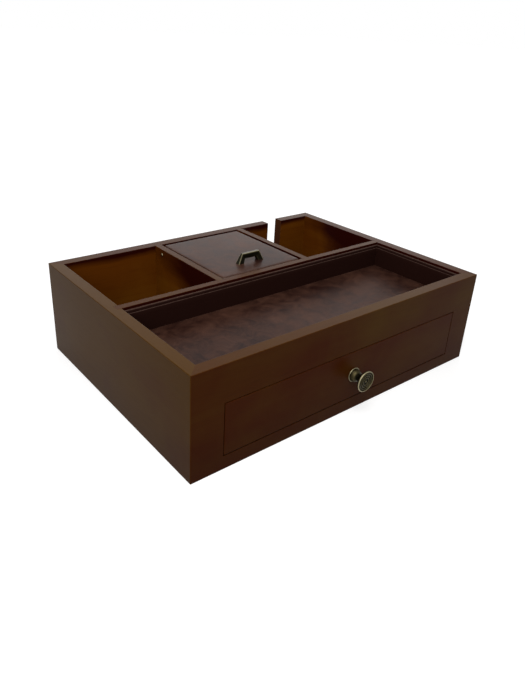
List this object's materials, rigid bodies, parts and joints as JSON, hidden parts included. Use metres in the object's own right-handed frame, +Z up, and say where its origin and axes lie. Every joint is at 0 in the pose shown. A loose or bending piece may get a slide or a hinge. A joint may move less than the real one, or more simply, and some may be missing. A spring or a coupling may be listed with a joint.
{
  "type": "valet box with drawer",
  "caption": "Wooden valet box: lined tray over a drawer in front, open cells behind with a pivoted lid on the middle one, and a cable slot in the back.",
  "frame": {"origin": "middle of the case's footprint, on the face that the box rests on", "axes": "+X to the right along the width, -Y out of the drawer front, +Z up"},
  "size_m": [0.33, 0.2563, 0.1006],
  "materials": {
    "lacquered_wood": "dark red-brown semi-gloss lacquer over fine-grained wood",
    "inner_wood": "stained, satin",
    "leatherette": "dark brown leatherette with a fine grain",
    "felt": "dark felt",
    "aged_brass": "antique brass, dark in its recesses and rubbed bright on its edges",
    "steel": "zinc-plated screws"
  },
  "bodies": {
    "case": {"front_board": "lacquered_wood", "right_side_board": "lacquered_wood", "back_board": "lacquered_wood", "left_side_board": "lacquered_wood", "base_panel": "inner_wood", "base_felt": "felt", "long_divider": "lacquered_wood", "left_cell_divider": "lacquered_wood", "right_cell_divider": "lacquered_wood", "tray_shelf": "inner_wood", "tray_ledge_front": "leatherette", "tray_ledge_right": "leatherette", "tray_ledge_back": "leatherette", "tray_ledge_left": "leatherette", "tray_lining_front": "leatherette", "tray_lining_right": "leatherette", "tray_lining_back": "leatherette", "tray_lining_left": "leatherette", "tray_floor": "leatherette", "left_cell_pad": "leatherette", "middle_cell_pad": "leatherette", "right_cell_pad": "leatherette", "left_runner": "inner_wood", "right_runner": "inner_wood", "pivot_pins": "aged_brass", "lid_rest": "lacquered_wood"},
    "drawer": {"drawer_front": "lacquered_wood", "drawer_side_left": "inner_wood", "drawer_side_right": "inner_wood", "drawer_back": "inner_wood", "drawer_bottom": "inner_wood", "drawer_lining": "leatherette", "drawer_knob": "aged_brass", "knob_screw": "steel"},
    "lid": {"lid_board": "lacquered_wood", "lid_cover": "leatherette", "lid_handle": "aged_brass", "handle_screws": "steel"}
  },
  "joints": [
    {"name": "drawer_slide", "type": "slide", "parent": "case", "child": "drawer", "axis": [0, -1, 0], "range_m": [0, 0.085]},
    {"name": "lid_hinge", "type": "hinge", "parent": "case", "child": "lid", "pos_m": [0, 0.0973, 0.085], "axis": [-1, 0, 0], "range_deg": [0, 128]}
  ]
}
